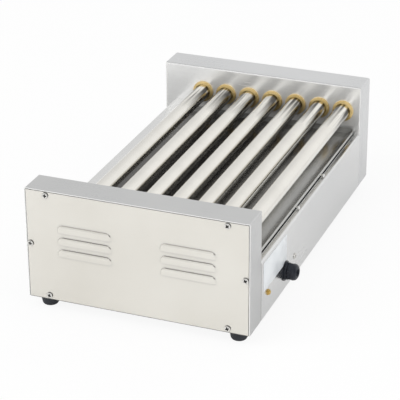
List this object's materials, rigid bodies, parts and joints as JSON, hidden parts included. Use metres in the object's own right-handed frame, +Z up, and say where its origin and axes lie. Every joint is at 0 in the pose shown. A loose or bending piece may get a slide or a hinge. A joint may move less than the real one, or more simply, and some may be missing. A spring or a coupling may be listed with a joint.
{
  "type": "hot dog roller grill",
  "caption": "Counter-top roller grill: heated rollers turn together between two louvred end housings, over a slide-out drip tray, driven by a gear train.",
  "frame": {"origin": "on the table under the middle of the body, at the underside of the feet", "axes": "+X across the rollers towards the panel with the cable gland, +Y along the rollers, +Z up"},
  "size_m": [0.358, 0.545, 0.18],
  "materials": {
    "shell_steel": "fine brushed stainless sheet",
    "cover_steel": "bright satin stainless sheet with pressed louvres",
    "roller_steel": "polished stainless tube",
    "tray_steel": "smooth cold-rolled stainless sheet",
    "bright_pin": "polished turned pin",
    "plated_steel": "bright zinc plating",
    "gear_steel": "machined steel, oiled",
    "gear_nylon": "moulded natural nylon",
    "motor_case": "zinc-coated can",
    "bush_bronze": "dull bronze bush",
    "heater_sheath": "heat-tinted steel sheath",
    "bracket_steel": "plain folded sheet",
    "foot_rubber": "moulded black rubber",
    "gland_nylon": "moulded black nylon",
    "earth_brass": "bare brass",
    "block_ceramic": "unglazed white ceramic",
    "thermostat_case": "zinc-coated case",
    "knob_plastic": "moulded black plastic with a white line",
    "switch_plastic": "moulded black plastic"
  },
  "bodies": {
    "body": {"near_shell": "shell_steel", "far_shell": "shell_steel", "rear_side_panel": "shell_steel", "front_side_panel": "shell_steel", "base_pan": "shell_steel", "tray_rails": "shell_steel", "near_cover": "cover_steel", "far_cover": "cover_steel", "cover_screws": "plated_steel", "motor_screws": "plated_steel", "foot_screws": "plated_steel", "terminal_screw": "plated_steel", "gear_studs": "plated_steel", "stud_clips": "plated_steel", "drive_motor": "motor_case", "near_bushes": "bush_bronze", "far_bushes": "bush_bronze", "heater_rods": "heater_sheath", "near_heater_rail": "bracket_steel", "far_heater_rail": "bracket_steel", "feet": "foot_rubber", "gland_body": "gland_nylon", "gland_nut": "gland_nylon", "gland_locknut": "gland_nylon", "earth_stud": "earth_brass", "terminal_block": "block_ceramic", "thermostat_1": "thermostat_case", "thermostat_2": "thermostat_case", "switch_body": "switch_plastic"},
    "roller_1": {"roller_1": "roller_steel", "roller_gear_1": "gear_steel"},
    "roller_2": {"roller_2": "roller_steel", "roller_gear_2": "gear_steel"},
    "roller_3": {"roller_3": "roller_steel", "roller_gear_3": "gear_steel"},
    "roller_4": {"roller_4": "roller_steel", "roller_gear_4": "gear_steel"},
    "roller_5": {"roller_5": "roller_steel", "roller_gear_5": "gear_steel"},
    "roller_6": {"roller_6": "roller_steel", "roller_gear_6": "gear_steel"},
    "roller_7": {"roller_7": "roller_steel", "roller_gear_7": "gear_steel"},
    "idler_1": {"idler_gear_1": "gear_nylon"},
    "idler_2": {"idler_gear_2": "gear_nylon"},
    "idler_3": {"idler_gear_3": "gear_nylon"},
    "idler_4": {"idler_gear_4": "gear_nylon"},
    "idler_5": {"idler_gear_5": "gear_nylon"},
    "idler_6": {"idler_gear_6": "gear_nylon"},
    "transfer": {"transfer_gear": "gear_nylon"},
    "pinion": {"motor_pinion": "gear_steel"},
    "tray": {"drip_tray": "tray_steel", "tray_pull_pins": "bright_pin"},
    "control_1": {"spindle_1": "plated_steel", "knob_1": "knob_plastic"},
    "control_2": {"spindle_2": "plated_steel", "knob_2": "knob_plastic"},
    "rocker": {"switch_rocker": "switch_plastic"}
  },
  "joints": [
    {"name": "roller_1_spin", "type": "hinge", "parent": "body", "child": "roller_1", "pos_m": [-0.096, 0, 0.14], "axis": [0, 1, 0], "continuous": true},
    {"name": "roller_2_spin", "type": "hinge", "parent": "body", "child": "roller_2", "pos_m": [-0.058, 0, 0.14], "axis": [0, 1, 0], "continuous": true},
    {"name": "roller_3_spin", "type": "hinge", "parent": "body", "child": "roller_3", "pos_m": [-0.02, 0, 0.14], "axis": [0, 1, 0], "continuous": true},
    {"name": "roller_4_spin", "type": "hinge", "parent": "body", "child": "roller_4", "pos_m": [0.018, 0, 0.14], "axis": [0, 1, 0], "continuous": true},
    {"name": "roller_5_spin", "type": "hinge", "parent": "body", "child": "roller_5", "pos_m": [0.056, 0, 0.14], "axis": [0, 1, 0], "continuous": true},
    {"name": "roller_6_spin", "type": "hinge", "parent": "body", "child": "roller_6", "pos_m": [0.094, 0, 0.14], "axis": [0, 1, 0], "continuous": true},
    {"name": "roller_7_spin", "type": "hinge", "parent": "body", "child": "roller_7", "pos_m": [0.132, 0, 0.14], "axis": [0, 1, 0], "continuous": true},
    {"name": "idler_1_spin", "type": "hinge", "parent": "body", "child": "idler_1", "pos_m": [-0.077, 0, 0.12012], "axis": [0, 1, 0], "continuous": true},
    {"name": "idler_2_spin", "type": "hinge", "parent": "body", "child": "idler_2", "pos_m": [-0.039, 0, 0.12012], "axis": [0, 1, 0], "continuous": true},
    {"name": "idler_3_spin", "type": "hinge", "parent": "body", "child": "idler_3", "pos_m": [-0.001, 0, 0.12012], "axis": [0, 1, 0], "continuous": true},
    {"name": "idler_4_spin", "type": "hinge", "parent": "body", "child": "idler_4", "pos_m": [0.037, 0, 0.12012], "axis": [0, 1, 0], "continuous": true},
    {"name": "idler_5_spin", "type": "hinge", "parent": "body", "child": "idler_5", "pos_m": [0.075, 0, 0.12012], "axis": [0, 1, 0], "continuous": true},
    {"name": "idler_6_spin", "type": "hinge", "parent": "body", "child": "idler_6", "pos_m": [0.113, 0, 0.12012], "axis": [0, 1, 0], "continuous": true},
    {"name": "transfer_spin", "type": "hinge", "parent": "body", "child": "transfer", "pos_m": [-0.001, 0, 0.08262], "axis": [0, 1, 0], "continuous": true},
    {"name": "pinion_spin", "type": "hinge", "parent": "body", "child": "pinion", "pos_m": [-0.02663, 0, 0.05699], "axis": [0, 1, 0], "continuous": true},
    {"name": "tray_slide", "type": "slide", "parent": "body", "child": "tray", "axis": [1, 0, 0], "range_m": [0, 0.25]},
    {"name": "knob_1_turn", "type": "hinge", "parent": "body", "child": "control_1", "pos_m": [-0.16, -0.15, 0.058], "axis": [1, 0, 0], "range_deg": [0, 270]},
    {"name": "knob_2_turn", "type": "hinge", "parent": "body", "child": "control_2", "pos_m": [-0.16, -0.08, 0.058], "axis": [1, 0, 0], "range_deg": [0, 270]},
    {"name": "rocker_tip", "type": "hinge", "parent": "body", "child": "rocker", "pos_m": [-0.158, -0.015, 0.058], "axis": [0, 1, 0], "range_deg": [0, 24]}
  ],
  "couplings": [
    {"joint": "roller_2_spin", "follows": "roller_1_spin", "ratio": 1},
    {"joint": "roller_3_spin", "follows": "roller_1_spin", "ratio": 1},
    {"joint": "roller_4_spin", "follows": "roller_1_spin", "ratio": 1},
    {"joint": "roller_5_spin", "follows": "roller_1_spin", "ratio": 1},
    {"joint": "roller_6_spin", "follows": "roller_1_spin", "ratio": 1},
    {"joint": "roller_7_spin", "follows": "roller_1_spin", "ratio": 1},
    {"joint": "idler_1_spin", "follows": "roller_1_spin", "ratio": -1.2},
    {"joint": "idler_2_spin", "follows": "roller_1_spin", "ratio": -1.2},
    {"joint": "idler_3_spin", "follows": "roller_1_spin", "ratio": -1.2},
    {"joint": "idler_4_spin", "follows": "roller_1_spin", "ratio": -1.2},
    {"joint": "idler_5_spin", "follows": "roller_1_spin", "ratio": -1.2},
    {"joint": "idler_6_spin", "follows": "roller_1_spin", "ratio": -1.2},
    {"joint": "transfer_spin", "follows": "roller_1_spin", "ratio": 0.6},
    {"joint": "pinion_spin", "follows": "roller_1_spin", "ratio": -1.3333}
  ]
}
